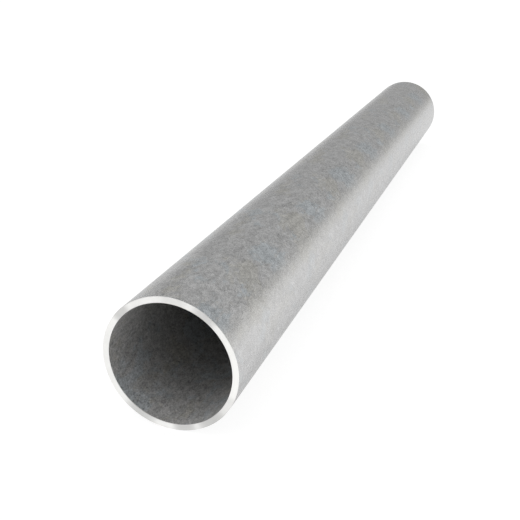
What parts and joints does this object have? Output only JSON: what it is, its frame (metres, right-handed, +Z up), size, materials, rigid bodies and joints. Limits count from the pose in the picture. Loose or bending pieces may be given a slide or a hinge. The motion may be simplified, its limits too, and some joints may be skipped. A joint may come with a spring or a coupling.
{
  "type": "welded steel pipe",
  "caption": "Straight length of round welded steel pipe with a plain bore and square-cut, deburred ends, for structural, scaffold, post or line use.",
  "frame": {"origin": "centre of the pipe, on its axis and halfway between its two ends", "axes": "X along the pipe, the end nearest in the picture at -X and the far end at +X; +Z up as the pipe lies on the floor, which is at Z = -0.054"},
  "size_m": [1, 0.1079, 0.108],
  "materials": {
    "steel": "bare mill steel with a faint mottle, darker in the bore, both cut faces turned bright"
  },
  "bodies": {
    "root": {"pipe": "steel"}
  },
  "joints": []
}
